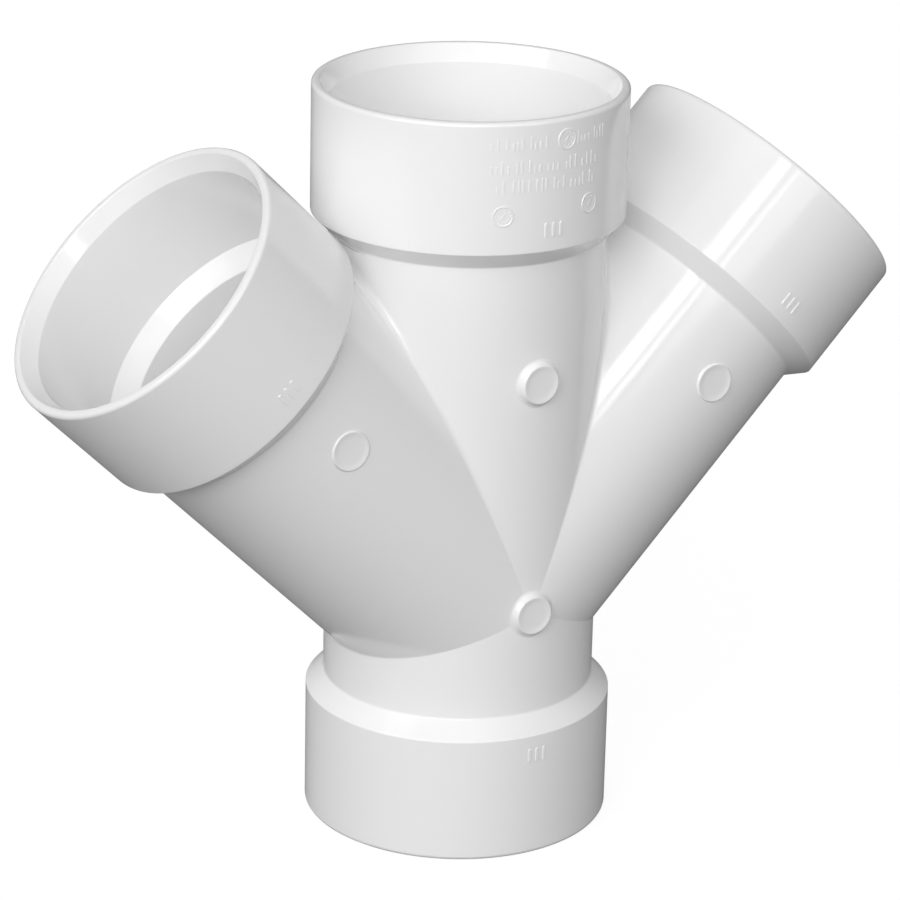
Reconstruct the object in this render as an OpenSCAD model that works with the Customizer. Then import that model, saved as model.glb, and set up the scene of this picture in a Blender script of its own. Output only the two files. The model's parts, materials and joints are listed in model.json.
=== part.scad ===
// Double wye, moulded in one piece from white plastic.
// A straight run carries two branches of the same bore, which leave it on opposite sides at one height.
// Each of the four ends is a hub with a socket for a plain pipe.
// Millimetres. The origin is the centre of the bottom hub's face, the run stands along +Z,
// the branches lean towards +X and -X, and the moulded pads face -Y.

/* [Pipe and wall] */
// Outside diameter of the pipe that the sockets take, which is the body's outside diameter as well
pipe_d = 88.9; // [60:0.1:170]
// Thickness of the wall, the same in the body, the hubs and the stops
wall = 5.5; // [4:0.1:8]

/* [Sockets] */
// How much wider a socket is than its pipe, on the diameter
socket_gap = 0.5; // [0.2:0.1:1.2]
// Depth of a socket, from the hub's face to the edge of the stop
socket_depth = 39.5; // [30:0.5:70]
// Depth of the flared lead-in at the mouth of a socket
lead_in_depth = 5.7; // [3:0.1:10]
// Width of the ring that is left round the mouth of a socket
face_w = 2.65; // [1.8:0.05:3.2]
// Radius of the round on the outer edge of a hub's face
rim_round = 0.8; // [0.3:0.1:1.2]
// Angle of a hub's shoulder and of the stop inside it, against the axis
shoulder_angle = 45; // [35:1:60]

/* [Legs] */
// Angle between each branch and the run
branch_angle = 45; // [42:1:70]
// Narrowest gap between the top hub and a branch hub
hub_gap = 1.5; // [1:0.1:12]
// Bare body between the lower throat and the bottom hub's shoulder
neck_l = 16; // [8:0.5:60]
// Radius of the round that fills the crotch between the run and each branch
crotch_r = 2; // [1:0.1:3]

/* [Ejector pads] */
// Diameter of the four round pads on the front
pad_d = 12.7; // [8:0.1:14]
// How far the pads on the run and on the crossing stand out
pad_h = 1.9; // [1:0.1:3]
// How far the pads on the branches stand out
branch_pad_h = 0.35; // [0.35:0.05:3]
// How much wider a pad on the run is at its foot, on the radius
pad_draft_w = 1; // [0.3:0.1:2]
// Width of the raised rim round a pad
pad_rim_w = 0.9; // [0.5:0.1:1.5]
// Depth of the flat dish inside that rim
pad_dish = 0.2; // [0.1:0.05:0.3]
// Bare run between the run's pad and the top hub's shoulder
run_pad_gap = 33; // [5:0.5:40]
// Bare branch between a branch's pad and its hub's shoulder
branch_pad_gap = 16; // [5:0.5:40]

/* [Hidden] */
$fn = 128;
// steps in the quarter round of a rim
ROUND_STEPS = 4;
// steps across a crotch's round, and along it
ARC_STEPS = 5;
SWEEP_STEPS = 26;
// how far the edges of a crotch's round are sunk in the legs, so that they merge
SUNK = 0.12;
// how far a cut runs on past the face that it opens
CUT = 1;

body_r = pipe_d / 2;
bore_r = body_r - wall;
socket_r = body_r + socket_gap / 2;
hub_r = socket_r + wall;
half_angle = branch_angle / 2;

// a hub, measured back from its face
shoulder_start = socket_depth + wall * tan(shoulder_angle / 2);
shoulder_l = (hub_r - body_r) / tan(shoulder_angle);
stop_l = (socket_r - bore_r) / tan(shoulder_angle);
hub_l = shoulder_start + shoulder_l;

// distances along the axes from the crossing
throat_l = body_r * tan(half_angle);
leg_l = hub_r / tan(half_angle) + hub_gap / (2 * sin(half_angle)) + shoulder_start;
foot_l = throat_l + neck_l + hub_l;
run_pad_l = leg_l - hub_l - run_pad_gap - pad_d / 2;
branch_pad_l = leg_l - hub_l - branch_pad_gap - pad_d / 2;

// Places what follows along one leg: 0 is the run's upper leg, 180 its lower leg
module along_leg(angle) {
    translate([0, 0, foot_l]) rotate([0, angle, 0]) children();
}

// Outside of one leg, from the crossing to the hub's face, as a turned solid
module leg_outside(length) {
    rotate_extrude() polygon(concat(
        [[0, 0], [body_r, 0], [body_r, length - hub_l], [hub_r, length - shoulder_start]],
        [for (i = [0:ROUND_STEPS])
            let (a = 90 * i / ROUND_STEPS)
            [hub_r - rim_round * (1 - cos(a)), length - rim_round * (1 - sin(a))]],
        [[0, length]]
    ));
}

// Round in the crotch between the run and a branch. A ball that touches both legs rolls from the front
// of the crossing, over the crotch, to the back: t is its place, 0 in the crotch and 90 on the crossing.
// Its centre stays in the plane halfway between the legs, where Z leads away from the crossing.
function ball_centre(t) = (body_r + crotch_r) * [0, sin(t), cos(t) / sin(half_angle)];

// Half of the angle, seen from the ball's centre, between the places where it touches the legs
function touch_angle(t) = acos(norm([sin(t), sin(half_angle) * cos(t)]));

// Direction from the middle of the crease to the ball's centre
function away_from_crease(t) =
    let (v = [0, sin(t), sin(half_angle) * cos(t)]) v / norm(v);

// Section of the round at t: the hollow arc that shows, and one root point deep in the wall
function crotch_ring(t) =
    let (c = ball_centre(t), away = away_from_crease(t), half = touch_angle(t))
    concat(
        [for (i = [0:ARC_STEPS])
            let (a = half * (2 * i / ARC_STEPS - 1))
            c - (crotch_r + SUNK) * (sin(a) * [1, 0, 0] + cos(a) * away)],
        [c - (crotch_r / cos(half) + wall / 3) * away]
    );

module crotch_round() {
    t_end = acos(sin(acos(crotch_r / (crotch_r + SUNK / 2))) / cos(half_angle));
    ring_n = ARC_STEPS + 2;
    points = [for (k = [0:SWEEP_STEPS]) each crotch_ring(t_end * (2 * k / SWEEP_STEPS - 1))];
    sides = [for (k = [0:SWEEP_STEPS - 1], i = [0:ring_n - 1])
        let (a = k * ring_n + i, b = k * ring_n + (i + 1) % ring_n)
        each [[a, b, b + ring_n], [a, b + ring_n, a + ring_n]]];
    first = [for (i = [ring_n - 1:-1:0]) i];
    last = [for (i = [0:ring_n - 1]) SWEEP_STEPS * ring_n + i];
    polyhedron(points, concat(sides, [first, last]));
}

// Waterway, stop, socket and lead-in of one leg, as a turned solid to cut away
module leg_inside(length) {
    mouth_r = hub_r - face_w;
    flare = (mouth_r - socket_r) / lead_in_depth;
    rotate_extrude() polygon([
        [0, 0],
        [bore_r, 0],
        [bore_r, length - socket_depth - stop_l],
        [socket_r, length - socket_depth],
        [socket_r, length - lead_in_depth],
        [mouth_r, length],
        [mouth_r + flare * CUT, length + CUT],
        [0, length + CUT]
    ]);
}

// Raised pad on the front of a leg, with its rim and dish; its base lies inside the wall
module pad(height, draft_w) {
    sunk = wall / 2;
    slope = draft_w / pad_h;
    translate([0, -body_r, 0]) rotate([90, 0, 0]) difference() {
        translate([0, 0, -sunk])
            cylinder(h = height + sunk, r1 = pad_d / 2 + slope * (height + sunk), r2 = pad_d / 2);
        translate([0, 0, height - pad_dish]) cylinder(h = pad_dish + CUT, d = pad_d - 2 * pad_rim_w);
    }
}

module double_wye() {
    color("white") difference() {
        union() {
            along_leg(0) leg_outside(leg_l);
            along_leg(180) leg_outside(foot_l);
            along_leg(branch_angle) leg_outside(leg_l);
            along_leg(-branch_angle) leg_outside(leg_l);
            for (side = [-1, 1]) along_leg(side * half_angle) crotch_round();
            along_leg(0) pad(pad_h, pad_draft_w);
            along_leg(0) translate([0, 0, run_pad_l]) pad(pad_h, pad_draft_w);
            for (side = [-1, 1])
                along_leg(side * branch_angle) translate([0, 0, branch_pad_l]) pad(branch_pad_h, 0);
        }
        along_leg(0) leg_inside(leg_l);
        along_leg(180) leg_inside(foot_l);
        along_leg(branch_angle) leg_inside(leg_l);
        along_leg(-branch_angle) leg_inside(leg_l);
    }
}

double_wye();
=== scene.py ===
# %% [markdown]
# A double wye, moulded in one piece from white PVC
#
# The object is a drain fitting: a straight run with two branches that leave it at 45 degrees.
# This lesson dresses it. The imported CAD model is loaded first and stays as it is: it gives every
# size and place. The moulding is then made again as one smooth skin by Geometry Nodes, because a
# glossy white surface shows each facet and each hard edge. The round pads and the small raised
# marks follow, and then the plastic, the floor, the lamps and the camera.

# %% The tools and the frame
import json
import math
import random

import bmesh
import bpy
from mathutils import Matrix, Vector

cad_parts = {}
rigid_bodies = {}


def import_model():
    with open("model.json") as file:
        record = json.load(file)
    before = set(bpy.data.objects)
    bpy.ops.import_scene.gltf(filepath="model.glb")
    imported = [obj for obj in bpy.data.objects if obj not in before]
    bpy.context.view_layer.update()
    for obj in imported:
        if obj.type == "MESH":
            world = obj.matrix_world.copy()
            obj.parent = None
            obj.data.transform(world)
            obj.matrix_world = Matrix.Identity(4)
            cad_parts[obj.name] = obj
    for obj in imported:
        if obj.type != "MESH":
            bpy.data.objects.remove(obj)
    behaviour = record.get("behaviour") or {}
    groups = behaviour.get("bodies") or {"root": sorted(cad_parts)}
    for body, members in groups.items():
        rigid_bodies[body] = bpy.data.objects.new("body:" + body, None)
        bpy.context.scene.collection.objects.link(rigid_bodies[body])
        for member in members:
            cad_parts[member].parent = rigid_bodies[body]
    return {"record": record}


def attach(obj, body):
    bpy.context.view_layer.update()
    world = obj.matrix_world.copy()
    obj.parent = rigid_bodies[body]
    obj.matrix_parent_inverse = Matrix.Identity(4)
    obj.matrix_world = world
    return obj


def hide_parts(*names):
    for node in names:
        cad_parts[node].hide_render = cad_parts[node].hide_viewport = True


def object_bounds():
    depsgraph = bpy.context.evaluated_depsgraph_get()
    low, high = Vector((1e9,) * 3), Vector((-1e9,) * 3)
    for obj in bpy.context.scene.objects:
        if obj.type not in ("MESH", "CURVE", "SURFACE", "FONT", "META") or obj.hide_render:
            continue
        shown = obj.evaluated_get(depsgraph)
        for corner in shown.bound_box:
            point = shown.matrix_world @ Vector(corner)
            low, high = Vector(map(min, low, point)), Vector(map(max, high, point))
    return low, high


for thing in list(bpy.data.objects):
    bpy.data.objects.remove(thing)
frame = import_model()
cad_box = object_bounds()
print("CAD box, mm:", [[round(1000 * v, 1) for v in corner] for corner in cad_box])

# %% [markdown]
# Sizes from the frame
#
# The record of the CAD model states each socket as a bore with a place, a direction and a radius.
# The crossing of the axes is where a branch's axis meets the run's, and the rest follows from it.
# Everything below works in metres, so one value stands for a millimetre.

# %% Sizes
MM = 0.001
mounts = {mount["name"]: mount for mount in frame["record"]["mounts"]}
branch_socket = Vector(mounts["right_branch_socket"]["pos_m"])
branch_axis = Vector(mounts["right_branch_socket"]["axis"])

hub_r = cad_box[1].y
socket_r = mounts["top_socket"]["dims"]["r_mm"] * MM
wall = hub_r - socket_r
socket_gap = 0.25 * MM
body_r = socket_r - socket_gap
bore_r = body_r - wall

branch_angle = math.atan2(branch_axis.x, branch_axis.z)
crossing_z = branch_socket.z - branch_socket.x / math.tan(branch_angle)
leg_l = cad_box[1].z - crossing_z
foot_l = crossing_z - cad_box[0].z
print("crossing at", round(crossing_z / MM, 2), "mm; legs", round(leg_l / MM, 2), round(foot_l / MM, 2))

# %% [markdown]
# Sizes of a hub
#
# A pipe is cemented into the hub. The flared lead-in centres it, and the stop holds its end. The
# shoulder outside lies a little behind the stop inside, so that the wall is as thick on the 45
# degree slope as on the straight.

# %% Hub
lead_in_l = 5.7 * MM
face_w = 2.65 * MM
mouth_r = hub_r - face_w
socket_depth = 39.5 * MM
stop_end = socket_depth + socket_r - bore_r
shoulder_start = socket_depth + wall * math.tan(math.radians(22.5))
hub_l = shoulder_start + hub_r - body_r
print("a hub is", round(hub_l / MM, 2), "mm long")

# %% [markdown]
# The outline of one leg
#
# Each leg is a turned shape: body, 45 degree shoulder, hub, face, flared lead-in, socket, 45 degree
# stop and bore. Its outline is a list of corners, each with the radius of its round, in metres: how
# far the corner lies from the axis and how deep it lies behind the hub's face. Plastic can't fill a
# sharp corner in a mould, so none is left sharp. A round needs a point just before and just after
# it as well, or the smooth shading of the round would spread over the flat beside it.


# %% Outline with rounded corners
def rounded(corners, steps=4, margin=0.2 * MM):
    """Points along an outline, with an arc of the given radius at each corner and a margin beside it."""
    points = []
    for before, (r, depth, radius), after in zip(corners, corners[1:], corners[2:]):
        corner = Vector((r, depth))
        back = (Vector(before[:2]) - corner).normalized()
        on = (Vector(after[:2]) - corner).normalized()
        half = back.angle(on) / 2
        reach = radius / math.tan(half)
        middle = corner + (back + on).normalized() * radius / math.sin(half)
        first = corner + back * reach - middle
        turn = first.angle_signed(corner + on * reach - middle)
        points.append(corner + back * (reach + margin))
        points += [middle + Matrix.Rotation(-turn * i / steps, 2) @ first for i in range(steps + 1)]
        points.append(corner + on * (reach + margin))
    return points


behind_hub = hub_l + 5 * MM
hub_outline = rounded([
    (body_r, behind_hub, 0),
    (body_r, hub_l, 1.0 * MM),
    (hub_r, shoulder_start, 0.5 * MM),
    (hub_r, 0, 1.3 * MM),
    (mouth_r, 0, 0.6 * MM),
    (socket_r, lead_in_l, 1.2 * MM),
    (socket_r, socket_depth, 0.4 * MM),
    (bore_r, stop_end, 0.8 * MM),
    (bore_r, behind_hub, 0),
])
print("outline of a hub:", len(hub_outline), "points")

# %% [markdown]
# The moulding as one skin
#
# Where two tubes of one diameter meet, their surfaces cross in a flat curve, on the plane halfway
# between their axes. So the skin of the fitting is four turned legs, each mitred on both sides, and
# the same holds for the bores inside. A Boolean would give the same shape, but with slivers that
# show in the gloss. A Geometry Nodes tree makes it exactly instead.
#
# One grid becomes one leg. Across, it runs round the axis, and along, it runs over the outline:
# from the mitre over the hub, into the socket and down the bore to the mitre again. Each crossing
# has a round, made as a ball would press it: the ball touches both tubes, its centre lies on the
# mitre plane, and the grid's rows near the mitre lie on the ball. One formula places every point:
# centre of the ball + radius of the ball times a direction, which turns from the mitre plane
# towards the tube's own axis. The outline is handed to the tree as loose points: radius (x), share
# of the way from the mitre to the hub (y) and depth behind the face (z). Two attributes go with
# them: outer is 1 outside and 0 in the bore, and bend is how far the direction has turned.

# %% Outline points for the tree
CROTCH_ROUND = 2.0 * MM
THROAT_ROUND = 1.2 * MM
TIP_ROUND = 0.8 * MM
ROUND_ROWS = 6
BODY_ROWS = 14
EDGE_SHARE = 0.004


def body_rows(radius, outer):
    """Rows from the mitre to the hub: (radius, share, depth, outer, bend)."""
    turn = [(radius, 0, hub_l, outer, i / ROUND_ROWS) for i in range(ROUND_ROWS)]
    shares = [0, EDGE_SHARE] + [i / BODY_ROWS for i in range(1, BODY_ROWS)]
    return turn + [(radius, share, hub_l, outer, 1) for share in shares]


def shape_object(name, points, faces=(), **attributes):
    """An object from points and faces, with named number attributes on its points."""
    mesh = bpy.data.meshes.new(name)
    mesh.from_pydata(points, [], faces)
    for label, values in attributes.items():
        mesh.attributes.new(label, "FLOAT", "POINT").data.foreach_set("value", values)
    obj = bpy.data.objects.new(name, mesh)
    bpy.context.scene.collection.objects.link(obj)
    return obj


rows = body_rows(body_r, 1)
rows += [(point.x, 1, point.y, 1, 1) for point in hub_outline]
rows += reversed(body_rows(bore_r, 0))
moulding = shape_object(
    "moulding", [row[:3] for row in rows], outer=[row[3] for row in rows], bend=[row[4] for row in rows]
)
print("outline points:", len(rows))

# %% [markdown]
# Two helpers for node trees
#
# A tree is easier to read as a list of nodes than as a list of links, so one function adds a node,
# sets it and links what comes before it. The other starts a tree and gives it named inputs.


# %% Helpers for node trees
def add(tree, kind, *inputs, **settings):
    """Adds a node to a tree, sets its properties, and sets or links its inputs; None skips one."""
    node = tree.nodes.new(kind)
    for name, value in settings.items():
        setattr(node, name, value)
    sockets = [socket for socket in node.inputs if socket.enabled]
    for socket, value in zip(sockets, inputs):
        if isinstance(value, bpy.types.Node):
            value = next(out for out in value.outputs if out.enabled)
        if isinstance(value, bpy.types.NodeSocket):
            tree.links.new(value, socket)
        elif value is not None:
            socket.default_value = value
    return node


def new_tree(name, **inputs):
    """A Geometry Nodes tree with a geometry input, the named inputs and a geometry output."""
    kinds = {int: "NodeSocketInt", float: "NodeSocketFloat", bpy.types.Object: "NodeSocketObject"}
    tree = bpy.data.node_groups.new(name, "GeometryNodeTree")
    tree.interface.new_socket("Geometry", in_out="INPUT", socket_type="NodeSocketGeometry")
    for label, value in inputs.items():
        socket = tree.interface.new_socket(label, in_out="INPUT", socket_type=kinds[type(value)])
        socket.default_value = value
    tree.interface.new_socket("Geometry", in_out="OUTPUT", socket_type="NodeSocketGeometry")
    return tree, tree.nodes.new("NodeGroupInput").outputs, tree.nodes.new("NodeGroupOutput")


# %% [markdown]
# One leg, first step: the grid reads the outline
#
# The grid lies flat and is one metre wide and high. Its place across becomes an angle round the
# axis, and its place along becomes the number of a row, with which Sample Index looks up the
# outline's point and its two attributes.


# %% Leg tree: the grid and its outline
def read_outline(tree, outline, around):
    """A grid with a row for each outline point, its angle, and the row's point, outer and bend."""
    rows = add(tree, "GeometryNodeAttributeDomainSize", outline).outputs["Point Count"]
    across = add(tree, "ShaderNodeMath", around, 1, operation="ADD")
    grid = add(tree, "GeometryNodeMeshGrid", 1, 1, across, rows)
    place = add(tree, "ShaderNodeSeparateXYZ", add(tree, "GeometryNodeInputPosition")).outputs
    angle = add(tree, "ShaderNodeMapRange", place["X"], -0.5, 0.5, 0, 2 * math.pi)
    last = add(tree, "ShaderNodeMath", rows, 1, operation="SUBTRACT")
    row = add(tree, "ShaderNodeMapRange", place["Y"], -0.5, 0.5, 0, last)
    row = add(tree, "ShaderNodeMath", row, operation="ROUND")

    point = add(tree, "GeometryNodeInputPosition")
    outer = add(tree, "GeometryNodeInputNamedAttribute", "outer")
    bend = add(tree, "GeometryNodeInputNamedAttribute", "bend")
    point = add(tree, "GeometryNodeSampleIndex", outline, point, row, data_type="FLOAT_VECTOR")
    outer = add(tree, "GeometryNodeSampleIndex", outline, outer, row)
    bend = add(tree, "GeometryNodeSampleIndex", outline, bend, row)
    return grid, angle, add(tree, "ShaderNodeSeparateXYZ", point).outputs, outer, bend


# %% [markdown]
# One leg, second step: the direction from the ball to the skin
#
# With bend 0 the direction lies in the mitre plane, where the neighbour's skin takes over. With
# bend 1 it points straight at the leg's own axis, where the round ends and the tube goes on.


# %% Leg tree: the ball's direction
def ball_direction(tree, to_axis, side, half, bend):
    """Turns a direction from the mitre plane, which leans by half from the axis, to the leg's axis."""
    math_node, vector_node = "ShaderNodeMath", "ShaderNodeVectorMath"
    cosine = add(tree, math_node, half, operation="COSINE")
    sine = add(tree, math_node, half, operation="SINE")
    normal_x = add(tree, math_node, cosine, side, operation="MULTIPLY")
    normal_z = add(tree, math_node, sine, -1, operation="MULTIPLY")
    normal = add(tree, "ShaderNodeCombineXYZ", normal_x, 0, normal_z)

    lean = add(tree, vector_node, to_axis, normal, operation="DOT_PRODUCT").outputs["Value"]
    lean = add(tree, math_node, lean, operation="ARCSINE")
    off_plane = add(tree, vector_node, to_axis, normal, operation="PROJECT")
    in_plane = add(tree, vector_node, to_axis, off_plane, operation="SUBTRACT")
    in_plane = add(tree, vector_node, in_plane, operation="NORMALIZE")

    turn = add(tree, math_node, lean, bend, operation="MULTIPLY")
    cosine = add(tree, math_node, turn, operation="COSINE")
    sine = add(tree, math_node, turn, operation="SINE")
    along = add(tree, vector_node, in_plane, cosine, operation="SCALE")
    aside = add(tree, vector_node, normal, sine, operation="SCALE")
    return add(tree, vector_node, along, aside, operation="ADD")


# %% [markdown]
# One leg, last step: the centre of the ball and the finished point
#
# The centre runs round the axis on a wider circle than the skin, by the ball's radius. At the mitre
# its height follows from the plane's lean, and from there to the hub it goes up by the share.


# %% Leg tree: the whole leg
def leg_tree():
    """One leg along +Z. Plus and Minus are half the angles to its neighbours at +X and -X."""
    tree, given, out = new_tree(
        "mitred_leg", Length=1.0, Plus=0.5, Minus=0.5, PlusRound=0.1, MinusRound=0.1, TipRound=0.1, Around=64
    )
    math_node, vector_node = "ShaderNodeMath", "ShaderNodeVectorMath"
    grid, angle, point, outer, bend = read_outline(tree, given["Geometry"], given["Around"])

    sine = add(tree, math_node, angle, operation="SINE")
    cosine = add(tree, math_node, angle, operation="COSINE")
    side = add(tree, math_node, sine, operation="SIGN")
    on_plus = add(tree, math_node, sine, 0, operation="GREATER_THAN")
    half = add(tree, "ShaderNodeMix", on_plus, given["Minus"], given["Plus"])
    ball = add(tree, "ShaderNodeMix", on_plus, given["MinusRound"], given["PlusRound"])
    ball = add(tree, "ShaderNodeMix", outer, given["TipRound"], ball)

    to_front = add(tree, math_node, cosine, -1, operation="MULTIPLY")
    away = add(tree, "ShaderNodeCombineXYZ", sine, to_front, 0)
    to_axis = add(tree, vector_node, away, -1, operation="SCALE")
    direction = ball_direction(tree, to_axis, side, half, bend)

    centre_r = add(tree, math_node, point["X"], ball, operation="ADD")
    mitre = add(tree, math_node, sine, operation="ABSOLUTE")
    mitre = add(tree, math_node, mitre, centre_r, operation="MULTIPLY")
    mitre = add(tree, math_node, mitre, add(tree, math_node, half, operation="TANGENT"), operation="DIVIDE")
    at_hub = add(tree, math_node, given["Length"], point["Z"], operation="SUBTRACT")
    height = add(tree, "ShaderNodeMix", point["Y"], mitre, at_hub)
    centre = add(tree, vector_node, away, centre_r, operation="SCALE")
    centre = add(tree, vector_node, centre, add(tree, "ShaderNodeCombineXYZ", 0, 0, height), operation="ADD")
    place = add(tree, vector_node, direction, ball, operation="SCALE")
    place = add(tree, vector_node, place, centre, operation="ADD")
    moved = add(tree, "GeometryNodeSetPosition", grid, None, place)
    tree.links.new(moved.outputs[0], out.inputs[0])
    return tree


leg = leg_tree()
print("leg tree:", len(leg.nodes), "nodes")

# %% [markdown]
# Four legs make the fitting
#
# The run's upper leg has a branch at 45 degrees on each side, and its foot has one at 135 degrees.
# Half of each angle is where the mitre plane stands. The legs meet point on point, so a weld by
# less than a thousandth of a millimetre closes the skin.

# %% Tree that joins four legs
WELD = 0.0005 * MM


def moulding_tree(material):
    """Four legs round the crossing, welded into one closed skin."""
    tree, given, out = new_tree(
        "four_legs", Leg=1.0, Foot=1.0, Branch=0.5, Crossing=0.1, Crotch=0.1, Throat=0.1, Tip=0.1, Around=64
    )
    tight = add(tree, "ShaderNodeMath", given["Branch"], 2, operation="DIVIDE")
    wide = add(tree, "ShaderNodeMath", math.pi / 2, tight, operation="SUBTRACT")
    left = add(tree, "ShaderNodeMath", given["Branch"], -1, operation="MULTIPLY")
    crotch, throat = given["Crotch"], given["Throat"]
    legs = [
        (0, given["Leg"], tight, tight, crotch, crotch),
        (math.pi, given["Foot"], wide, wide, throat, throat),
        (given["Branch"], given["Leg"], wide, tight, throat, crotch),
        (left, given["Leg"], tight, wide, crotch, throat),
    ]
    height = add(tree, "ShaderNodeCombineXYZ", 0, 0, given["Crossing"])
    join = tree.nodes.new("GeometryNodeJoinGeometry")
    for angle, length, plus, minus, plus_round, minus_round in legs:
        shape = add(
            tree, "GeometryNodeGroup", given["Geometry"], length, plus, minus, plus_round, minus_round,
            given["Tip"], given["Around"], node_tree=leg,
        )
        turn = add(tree, "ShaderNodeCombineXYZ", 0, angle, 0)
        placed = add(tree, "GeometryNodeTransform", shape, height, turn)
        tree.links.new(placed.outputs[0], join.inputs[0])
    welded = add(tree, "GeometryNodeMergeByDistance", join, None, WELD)
    smooth = add(tree, "GeometryNodeSetShadeSmooth", welded, None, True)
    plain = add(tree, "GeometryNodeRealizeInstances", smooth)
    painted = add(tree, "GeometryNodeSetMaterial", plain, None, material)
    tree.links.new(painted.outputs[0], out.inputs[0])
    return tree


# %% Helpers that run a tree and measure its result
def run_tree(obj, tree, **values):
    """Runs a tree on an object with the given inputs, and keeps the result as its plain mesh."""
    modifier = obj.modifiers.new(tree.name, "NODES")
    modifier.node_group = tree
    for item in tree.interface.items_tree:
        if item.in_out == "INPUT" and item.name in values:
            modifier[item.identifier] = values[item.name]
    evaluated = obj.evaluated_get(bpy.context.evaluated_depsgraph_get())
    mesh = bpy.data.meshes.new_from_object(evaluated)
    obj.modifiers.clear()
    obj.data = mesh
    mesh.name = obj.name


def report(obj):
    """Prints a piece's triangles, its open edges, and its volume, which is positive if it faces out."""
    bm = bmesh.new()
    bm.from_mesh(obj.data)
    open_edges = sum(not edge.is_manifold for edge in bm.edges)
    triangles = sum(len(face.verts) - 2 for face in bm.faces)
    volume = round(bm.calc_volume(signed=True) * 1e6, 1)
    print(obj.name, "triangles", triangles, "open edges", open_edges, "cm3", volume)
    bm.free()


# %% Make the moulding
AROUND = 256
pvc = bpy.data.materials.new("white_pvc")
run_tree(
    moulding, moulding_tree(pvc), Leg=leg_l, Foot=foot_l, Branch=branch_angle, Crossing=crossing_z,
    Crotch=CROTCH_ROUND, Throat=THROAT_ROUND, Tip=TIP_ROUND, Around=AROUND,
)
report(moulding)

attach(moulding, "root")
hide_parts("double_wye")

# %% [markdown]
# Ejector pads
#
# Pins push the moulding out of its mould, and each pin's end leaves a round pad with a thin rim.
# Two pads stand on the run and its crossing, on sloping sides, and one low ring lies on each branch.
# A pad is turned from its outline as a flat disc with its back closed. A Geometry Nodes tree puts
# copies on points and then casts a ray from the front for each of their points, so that the foot of
# a pad follows the round skin under it, while its top stays flat as the pin was. The attribute hug
# says how far a point follows the skin.

# %% Pad outline
PAD_SUNK = 2 * MM
FOOT_STEPS, EDGE_STEPS, DISH_STEPS = 6, 3, 5


def pad_outline(radius, height, hollow, steepness, rim, dish, slope):
    """Rows of a pad from the middle of its back to the middle of its face: (radius, height, hug).

    Its flank starts level on the skin, rises in a hollow arc to the given steepness and goes on
    straight. The face has a flat rim, and then sinks by the dish over the width of the slope."""
    steep = math.radians(steepness)
    edge = min(0.25 * MM, 0.4 * height)
    flank_h = height - edge * (1 - math.cos(steep))
    straight = (flank_h - hollow * (1 - math.cos(steep))) / math.tan(steep)
    foot_r = radius - edge + edge * math.sin(steep) + straight + hollow * math.sin(steep)
    profile = []
    for i in range(FOOT_STEPS + 1):
        turn = steep * i / FOOT_STEPS
        profile.append((foot_r - hollow * math.sin(turn), hollow * (1 - math.cos(turn))))
    for i in range(EDGE_STEPS, -1, -1):
        turn = steep * i / EDGE_STEPS
        profile.append((radius - edge + edge * math.sin(turn), height - edge + edge * math.cos(turn)))
    inner = radius - edge - rim
    for i in range(DISH_STEPS + 1):
        part = i / DISH_STEPS
        profile.append((inner - slope * part, height - dish * (1 - (1 - part) ** 2)))
    rows = [(0, -PAD_SUNK, 1), (foot_r, -PAD_SUNK, 1), (foot_r, -0.02 * MM, 1)]
    rows += [(r, h, max(0, 1 - h / flank_h) if r > inner else 0) for r, h in profile]
    return rows + [(0, height - dish, 0)]


# %% Pad shape
def turned(name, rows, around=72):
    """A closed shape turned about the Y axis from (radius, height, hug) rows; its front faces -Y."""
    verts, hugs, faces, rings = [], [], [], []
    for radius, height, hug in rows:
        angles = [2 * math.pi * i / around for i in range(around if radius else 1)]
        rings.append([len(verts) + i for i in range(len(angles))])
        verts += [(radius * math.sin(a), -height, radius * math.cos(a)) for a in angles]
        hugs += [hug] * len(angles)
    for low, high in zip(rings, rings[1:]):
        for i in range(around):
            j = (i + 1) % around
            corners = [low[j % len(low)], low[i % len(low)], high[i % len(high)], high[j % len(high)]]
            faces.append(list(dict.fromkeys(corners)))
    return shape_object(name, verts, faces, hug=hugs)


# %% Tree that sets pads on the skin
def pads_tree(pad, skin, material):
    """Copies of a pad on points, each turned by the attribute turn, with its foot on the skin."""
    tree, given, out = new_tree("pads_on_skin", Pad=pad, Skin=skin, Front=1.0)
    pad_shape = add(tree, "GeometryNodeObjectInfo", given["Pad"]).outputs["Geometry"]
    skin_shape = add(tree, "GeometryNodeObjectInfo", given["Skin"]).outputs["Geometry"]
    turn = add(tree, "ShaderNodeCombineXYZ", 0, add(tree, "GeometryNodeInputNamedAttribute", "turn"), 0)
    copies = add(tree, "GeometryNodeInstanceOnPoints", given["Geometry"], None, pad_shape, None, None, turn)
    copies = add(tree, "GeometryNodeRealizeInstances", copies)

    place = add(tree, "ShaderNodeSeparateXYZ", add(tree, "GeometryNodeInputPosition")).outputs
    start = add(tree, "ShaderNodeCombineXYZ", place["X"], -1, place["Z"])
    ray = tree.nodes.new("GeometryNodeRaycast")
    tree.links.new(skin_shape, ray.inputs["Target Geometry"])
    tree.links.new(start.outputs[0], ray.inputs["Source Position"])
    ray.inputs["Ray Direction"].default_value = (0, 1, 0)
    hit = add(tree, "ShaderNodeSeparateXYZ", ray.outputs["Hit Position"]).outputs["Y"]
    sag = add(tree, "ShaderNodeMath", hit, given["Front"], operation="SUBTRACT")
    hug = add(tree, "GeometryNodeInputNamedAttribute", "hug")
    shift = add(tree, "ShaderNodeMath", sag, hug, operation="MULTIPLY")
    shift = add(tree, "ShaderNodeCombineXYZ", 0, shift, 0)
    placed = add(tree, "GeometryNodeSetPosition", copies, None, None, shift)
    smooth = add(tree, "GeometryNodeSetShadeSmooth", placed, None, True)
    painted = add(tree, "GeometryNodeSetMaterial", smooth, None, material)
    tree.links.new(painted.outputs[0], out.inputs[0])
    return tree


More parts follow.
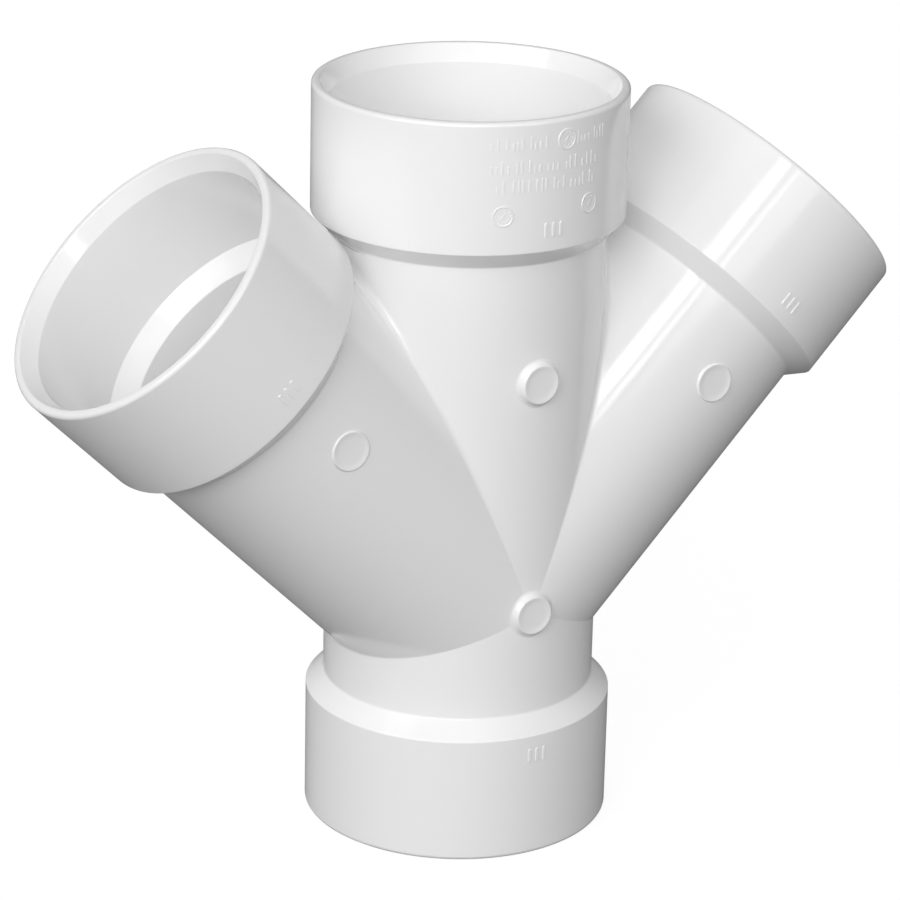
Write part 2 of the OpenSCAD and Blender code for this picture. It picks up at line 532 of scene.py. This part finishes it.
# %% Make the pads
PAD_R = 6.35 * MM
PAD_RIM, PAD_DISH, PAD_SLOPE = 0.3 * MM, 0.3 * MM, 2.2 * MM
RUN_PAD_FROM_HUB, BRANCH_PAD_FROM_HUB = 33 * MM, 16 * MM


def on_leg(turn, distance):
    """A point on the front of a leg, at a distance from the crossing."""
    return (distance * math.sin(turn), -body_r, crossing_z + distance * math.cos(turn))


run_pad_l = leg_l - hub_l - RUN_PAD_FROM_HUB - PAD_R
branch_pad_l = leg_l - hub_l - BRANCH_PAD_FROM_HUB - PAD_R
pad_kinds = [
    ("run_pads", 1.9 * MM, 1.2 * MM, 64, [(0, 0), (0, run_pad_l)]),
    ("branch_pads", 0.35 * MM, 0.4 * MM, 50, [(branch_angle, branch_pad_l), (-branch_angle, branch_pad_l)]),
]
for name, height, hollow, steepness, places in pad_kinds:
    pads = shape_object(name, [on_leg(*place) for place in places], turn=[turn for turn, _ in places])
    pad = turned("pad", pad_outline(PAD_R, height, hollow, steepness, PAD_RIM, PAD_DISH, PAD_SLOPE))
    run_tree(pads, pads_tree(pad, moulding, pvc), Front=-body_r)
    bpy.data.objects.remove(pad)
    report(pads)
    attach(pads, "root")

# %% [markdown]
# Raised marks
#
# Such fittings carry low raised marks on their hubs. Here they are plain ones that say nothing:
# three rows of short ticks and three round mould dials on the top hub, and three broader ticks on
# every hub. They are laid out flat, as if the hub were unrolled: x runs round the hub and z runs
# away from its face. A tree puts a small stamp on each point, turns it and stretches it, and then
# rolls the whole sheet on its hub.

# %% Stamp for the ticks
TICK_W, TICK_L, TICK_H = 0.7 * MM, 3 * MM, 0.13 * MM
TICK_EDGE, TICK_SUNK = 0.12 * MM, 0.5 * MM
TICK_SIDES, TICK_STEPS = 12, 4


def tick_stamp():
    """A short raised bar with round ends along Z and a rounded top; its back is sunk."""
    verts, rings, faces = [], [], []
    levels = [(0, -TICK_SUNK)]
    for i in range(TICK_STEPS + 1):
        a = math.radians(90 * i / TICK_STEPS)
        levels.append((TICK_EDGE * (1 - math.cos(a)), TICK_H - TICK_EDGE * (1 - math.sin(a))))
    for inset, height in levels:
        rings.append([])
        for i in range(TICK_SIDES):
            a = 2 * math.pi * (i + 0.5) / TICK_SIDES
            end = math.copysign(TICK_L / 2 - TICK_W / 2, math.cos(a))
            r = TICK_W / 2 - inset
            rings[-1].append(len(verts))
            verts.append((r * math.sin(a), -height, end + r * math.cos(a)))
    for low, high in zip(rings, rings[1:]):
        for i in range(TICK_SIDES):
            j = (i + 1) % TICK_SIDES
            faces.append((low[j], low[i], high[i], high[j]))
    return shape_object("tick", verts, faces + [rings[0], rings[-1][::-1]])


# %% Tree that rolls marks on the hubs
def marks_tree(stamp, material):
    """Stamps on points of the unrolled hubs, rolled on hubs of the given radius and set on their legs."""
    tree, given, out = new_tree("marks_on_hubs", Stamp=stamp, Radius=1.0, Crossing=1.0)
    math_node = "ShaderNodeMath"
    named = "GeometryNodeInputNamedAttribute"
    shape = add(tree, "GeometryNodeObjectInfo", given["Stamp"]).outputs["Geometry"]
    spin = add(tree, "ShaderNodeCombineXYZ", 0, add(tree, named, "spin"), 0)
    bold = add(tree, named, "bold")
    size = add(tree, "ShaderNodeCombineXYZ", bold, bold, add(tree, named, "tall"))
    copies = add(tree, "GeometryNodeInstanceOnPoints", given["Geometry"], None, shape, None, None, spin, size)
    copies = add(tree, "GeometryNodeRealizeInstances", copies)

    place = add(tree, "ShaderNodeSeparateXYZ", add(tree, "GeometryNodeInputPosition")).outputs
    angle = add(tree, math_node, place["X"], given["Radius"], operation="DIVIDE")
    radius = add(tree, math_node, given["Radius"], place["Y"], operation="SUBTRACT")
    x = add(tree, math_node, add(tree, math_node, angle, operation="SINE"), radius, operation="MULTIPLY")
    y = add(tree, math_node, add(tree, math_node, angle, operation="COSINE"), radius, operation="MULTIPLY")
    y = add(tree, math_node, y, -1, operation="MULTIPLY")
    z = add(tree, math_node, place["Z"], add(tree, named, "leg"), operation="ADD")
    rolled = add(tree, "ShaderNodeCombineXYZ", x, y, z)
    turn = add(tree, named, "turn")
    leaning = add(tree, "ShaderNodeVectorRotate", rolled, None, turn, rotation_type="Y_AXIS")
    lift = add(tree, "ShaderNodeCombineXYZ", 0, 0, given["Crossing"])
    placed = add(tree, "ShaderNodeVectorMath", leaning, lift, operation="ADD")
    moved = add(tree, "GeometryNodeSetPosition", copies, None, placed)
    painted = add(tree, "GeometryNodeSetMaterial", moved, None, material)
    tree.links.new(painted.outputs[0], out.inputs[0])
    return tree


# %% [markdown]
# The layout of the marks
#
# Each mark is a tuple: hub, x, depth, spin, bold and tall. Bold scales a stamp's width and height,
# and tall scales its length. A dial is a low ring with twelve short ticks and a pointer in it. The
# rows are groups of two to four long and short ticks from a seeded generator.

# %% Lay out the ticks and dials
legs = {
    "top": (0, leg_l),
    "bottom": (math.pi, foot_l),
    "right": (branch_angle, leg_l),
    "left": (-branch_angle, leg_l),
}
HUB_TICK_STEP, HUB_TICK_DEPTH, HUB_TICK_BOLD, HUB_TICK_TALL = 2.7 * MM, 35 * MM, 1.8, 1.6
ticks = []
for hub in legs:
    for i in (-1, 0, 1):
        ticks.append((hub, i * HUB_TICK_STEP, HUB_TICK_DEPTH, 0, HUB_TICK_BOLD, HUB_TICK_TALL))

DIAL_R, DIAL_TICK_R, DIAL_TICKS = 3.3 * MM, 2.25 * MM, 12
DIAL_TICK_TALL, POINTER_SPIN, POINTER_TALL = 0.28, 0.6, 0.75
dials = [("top", x * MM, depth * MM, 0, 1, 1) for x, depth in ((4, 6.8), (-17, 29.5), (14, 28.8))]
for hub, x, depth, *_ in dials:
    for i in range(DIAL_TICKS):
        a = 2 * math.pi * i / DIAL_TICKS
        at = (x + DIAL_TICK_R * math.sin(a), depth - DIAL_TICK_R * math.cos(a))
        ticks.append((hub, *at, a, 1, DIAL_TICK_TALL))
    ticks.append((hub, x, depth, POINTER_SPIN, 1, POINTER_TALL))

# %% Lay out the rows
ROWS = ((6.8, ((-21, -1), (8.5, 20))), (14.2, ((-21, 19),)), (20.3, ((-19, 17),)))
ROW_TALL, ROW_TALLS = 1.4, (1, 1, 0.6)
ROW_STEPS, GROUP_GAP = (1.4, 1.7, 2.0), 1.2 * MM
choice = random.Random(3)
for depth, spans in ROWS:
    for start, end in spans:
        x = start * MM
        while x < end * MM:
            for _ in range(choice.randint(2, 4)):
                tall = ROW_TALL * choice.choice(ROW_TALLS)
                foot = depth * MM + (ROW_TALL - tall) * TICK_L / 2
                ticks.append(("top", x, foot, 0, 1, tall))
                x += choice.choice(ROW_STEPS) * MM
            x += GROUP_GAP
print("marks:", len(ticks), "ticks and", len(dials), "dials")

# %% Make the marks
dial = turned("dial", pad_outline(DIAL_R, 0.25 * MM, 0.1 * MM, 60, 0.25 * MM, 0.2 * MM, 0.4 * MM), around=40)
for name, stamp, marks in (("hub_ticks", tick_stamp(), ticks), ("hub_dials", dial, dials)):
    points = [(x, 0, -depth) for _, x, depth, *_ in marks]
    obj = shape_object(
        name, points, turn=[legs[mark[0]][0] for mark in marks], leg=[legs[mark[0]][1] for mark in marks],
        spin=[mark[3] for mark in marks], bold=[mark[4] for mark in marks], tall=[mark[5] for mark in marks],
    )
    run_tree(obj, marks_tree(stamp, pvc), Radius=hub_r, Crossing=crossing_z)
    bpy.data.objects.remove(stamp)
    report(obj)
    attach(obj, "root")

# %% [markdown]
# White PVC
#
# The fitting is injection moulded from PVC filled with white pigment, in a polished mould. Its body
# is an even, neutral white. Its surface is smooth and glossy, with an index of refraction of 1.54,
# and the flow of the melt leaves slow waves and a fine orange peel that bend the edges of
# reflections. Where the flow was slower the gloss is a little less, so the roughness follows the
# same noise. The noise scales below are one over the size of a wave.


# %% Plastic
def linear(code):
    """An sRGB hex colour as linear RGBA."""
    parts = [int(code[i : i + 2], 16) / 255 for i in (1, 3, 5)]
    return tuple(c / 12.92 if c <= 0.04045 else ((c + 0.055) / 1.055) ** 2.4 for c in parts) + (1,)


PVC_WHITE = "#FAFAFA"
PVC_IOR = 1.54
GLOSSY, DULLER = 0.1, 0.13
FLOW_WAVE, FLOW_HEIGHT = 22 * MM, 0.03 * MM
PEEL_WAVE, PEEL_HEIGHT = 2.2 * MM, 0.0015 * MM


def dress_pvc(material):
    """Glossy white moulded PVC: even colour, slow flow waves, fine orange peel."""
    material.use_nodes = True
    tree = material.node_tree
    shader = tree.nodes["Principled BSDF"]
    shader.inputs["Base Color"].default_value = linear(PVC_WHITE)
    shader.inputs["IOR"].default_value = PVC_IOR
    place = add(tree, "ShaderNodeTexCoord").outputs["Object"]
    flow = add(tree, "ShaderNodeTexNoise", place, 1 / FLOW_WAVE, 2)
    gloss = add(tree, "ShaderNodeMapRange", flow, 0.3, 0.7, GLOSSY, DULLER)
    tree.links.new(gloss.outputs[0], shader.inputs["Roughness"])
    peel = add(tree, "ShaderNodeTexNoise", place, 1 / PEEL_WAVE, 1)
    waves = add(tree, "ShaderNodeBump", 1, FLOW_HEIGHT, None, flow)
    fine = add(tree, "ShaderNodeBump", 1, PEEL_HEIGHT, None, peel, waves)
    tree.links.new(fine.outputs[0], shader.inputs["Normal"])


dress_pvc(pvc)
print("plastic:", PVC_WHITE, "with", len(pvc.node_tree.nodes), "nodes")

# %% [markdown]
# Floor and background
#
# The part stands on a plain floor. As a surface it is mid grey, which gives the undersides their
# grey, and the camera sees it with a glow of its own added, so that it is white round the part and
# the shadow at the foot stays. The world is white to the camera and weak as a light. Mirrored rays
# see a dim level of both, because the plastic's edges, which mirror most, are darker than its
# middle in the photograph. Nothing on the part is metal or glass, which would need it brighter.

# %% Floor
FLOOR_SIZE = 6
FLOOR_GREY = "#787878"
FLOOR_GLOW = 0.865
FLOOR_MIRRORED = 0.03


def background_level(tree, seen, mirrored, light):
    """A level for rays that see the background, one for rays mirrored on the part and one for light."""
    rays = add(tree, "ShaderNodeLightPath").outputs
    camera_ray, through_glass = rays["Is Camera Ray"], rays["Is Transmission Ray"]
    direct = add(tree, "ShaderNodeMath", camera_ray, through_glass, operation="MAXIMUM")
    indirect = add(tree, "ShaderNodeMix", rays["Is Glossy Ray"], light, mirrored)
    return add(tree, "ShaderNodeMix", direct, indirect, seen)


def dress_floor(material):
    """Matt grey as a surface, with a white glow for the camera."""
    material.use_nodes = True
    tree = material.node_tree
    surface = tree.nodes["Principled BSDF"]
    surface.inputs["Base Color"].default_value = linear(FLOOR_GREY)
    surface.inputs["Roughness"].default_value = 0.9
    surface.inputs["Emission Color"].default_value = (1, 1, 1, 1)
    glow = background_level(tree, FLOOR_GLOW, FLOOR_MIRRORED, 0)
    tree.links.new(glow.outputs[0], surface.inputs["Emission Strength"])


floor_white = bpy.data.materials.new("floor_white")
dress_floor(floor_white)
square = ((-1, -1), (1, -1), (1, 1), (-1, 1))
floor = shape_object("floor", [(x * FLOOR_SIZE, y * FLOOR_SIZE, 0) for x, y in square], [(0, 1, 2, 3)])
floor.data.materials.append(floor_white)
print("floor:", 2 * FLOOR_SIZE, "m square")

# %% World
WORLD_LIGHT = 0.18
WORLD_MIRRORED = 0.1
world = bpy.data.worlds.new("studio")
bpy.context.scene.world = world
world.use_nodes = True
background = world.node_tree.nodes["Background"]
background.inputs["Color"].default_value = (1, 1, 1, 1)
level = background_level(world.node_tree, 1, WORLD_MIRRORED, WORLD_LIGHT)
world.node_tree.links.new(level.outputs[0], background.inputs["Strength"])

# %% [markdown]
# Lamps
#
# Rounded softboxes three metres from the part, as azimuth, elevation and roll in degrees, length and
# width in metres, and watts. Azimuth 0 is the front and negative is to the left. The strip and the
# rim box lie side by side and draw the wide and the thin streak on the right branch. The front and
# left boxes light the run, the left hub and the top hub, and front_right opens up the right side.
# The fills light the side and the back. They stay out of the plastic's reflections, so that the
# edges seen from the front stay dark.

# %% Lamps
LAMP_DISTANCE = 3
LAMP_TARGET = Vector((0, 0, 0.13))
SOFTBOXES = {
    "strip": (-23.5, 30, 28, 1.2, 0.62, 10),
    "rim": (-14, 22.5, 28, 1.0, 0.22, 2.6),
    "front": (-20, 45, 0, 3.6, 2.4, 11.5),
    "front_left": (-45, 25, 0, 1.6, 1.4, 21.5),
    "left": (-75, 34, 0, 2.2, 1.8, 24),
    "left_low": (-75, 12, 0, 2.4, 1.0, 7),
    "front_right": (12, 22, 0, 1.8, 1.2, 9.5),
    "behind": (170, 45, 0, 3.6, 2.6, 4),
}
FILLS = {
    "fill_side": (95, 30, 0, 2.4, 1.6, 8),
    "fill_left": (-150, 12, 0, 2.4, 0.9, 8),
    "fill_behind": (180, 12, 0, 2.4, 0.9, 24),
    "fill_right": (150, 12, 0, 2.4, 0.9, 16),
}


def softbox(name, azimuth, elevation, roll, length, width, watts):
    """An area lamp with a rounded outline, aimed at the middle of the part."""
    data = bpy.data.lights.new(name, "AREA")
    data.shape = "ELLIPSE"
    data.size, data.size_y = length, width
    data.energy = watts
    lamp = bpy.data.objects.new(name, data)
    bpy.context.scene.collection.objects.link(lamp)
    a, e, turn = math.radians(azimuth), math.radians(elevation), math.radians(roll)
    away = Vector((math.sin(a) * math.cos(e), -math.cos(a) * math.cos(e), math.sin(e)))
    across = Vector((math.cos(a), math.sin(a), 0))
    along = across * math.cos(turn) + across.cross(away) * -math.sin(turn)
    place = Matrix((along, away.cross(along), away)).transposed().to_4x4()
    place.translation = LAMP_TARGET + LAMP_DISTANCE * away
    lamp.matrix_world = place
    return lamp


for name, settings in SOFTBOXES.items():
    softbox(name, *settings)
for name, settings in FILLS.items():
    softbox(name, *settings).visible_glossy = False
watts = sum(settings[-1] for settings in [*SOFTBOXES.values(), *FILLS.values()])
print("lamps:", len(SOFTBOXES), "softboxes and", len(FILLS), "fills,", round(watts, 1), "watts")

# %% [markdown]
# Camera
#
# The photograph looks at the front from the left and from above, through a long lens. The angles are
# those that fit its rims and shoulders best. A small roll makes up for a camera that wasn't level.

# %% Camera
CAMERA_AZIMUTH, CAMERA_ELEVATION, CAMERA_ROLL = -31.5, 20.5, 1.3
CAMERA_DISTANCE = 1250 * MM
CAMERA_HEIGHT, CAMERA_ACROSS = 123 * MM, -4 * MM
PICTURE_W, FOCAL_PIXELS, SENSOR_W = 900, 3850, 36


def camera():
    """The camera at the photograph's angle, aimed at a point near the part's middle."""
    a, e, roll = (math.radians(v) for v in (CAMERA_AZIMUTH, CAMERA_ELEVATION, CAMERA_ROLL))
    back = Vector((math.sin(a) * math.cos(e), -math.cos(a) * math.cos(e), math.sin(e)))
    across = Vector((math.cos(a), math.sin(a), 0))
    up = back.cross(across)
    target = Vector((0, 0, CAMERA_HEIGHT)) + across * CAMERA_ACROSS
    right = across * math.cos(roll) + up * math.sin(roll)
    up = up * math.cos(roll) - across * math.sin(roll)
    data = bpy.data.cameras.new("camera")
    data.lens = FOCAL_PIXELS / PICTURE_W * SENSOR_W
    cam = bpy.data.objects.new("camera", data)
    place = Matrix((right, up, back)).transposed().to_4x4()
    place.translation = target + back * CAMERA_DISTANCE
    cam.matrix_world = place
    bpy.context.scene.collection.objects.link(cam)
    bpy.context.scene.camera = cam
    return cam


view = camera()
print("camera lens:", round(view.data.lens, 1), "mm")
bpy.context.scene.view_settings.view_transform = "Standard"
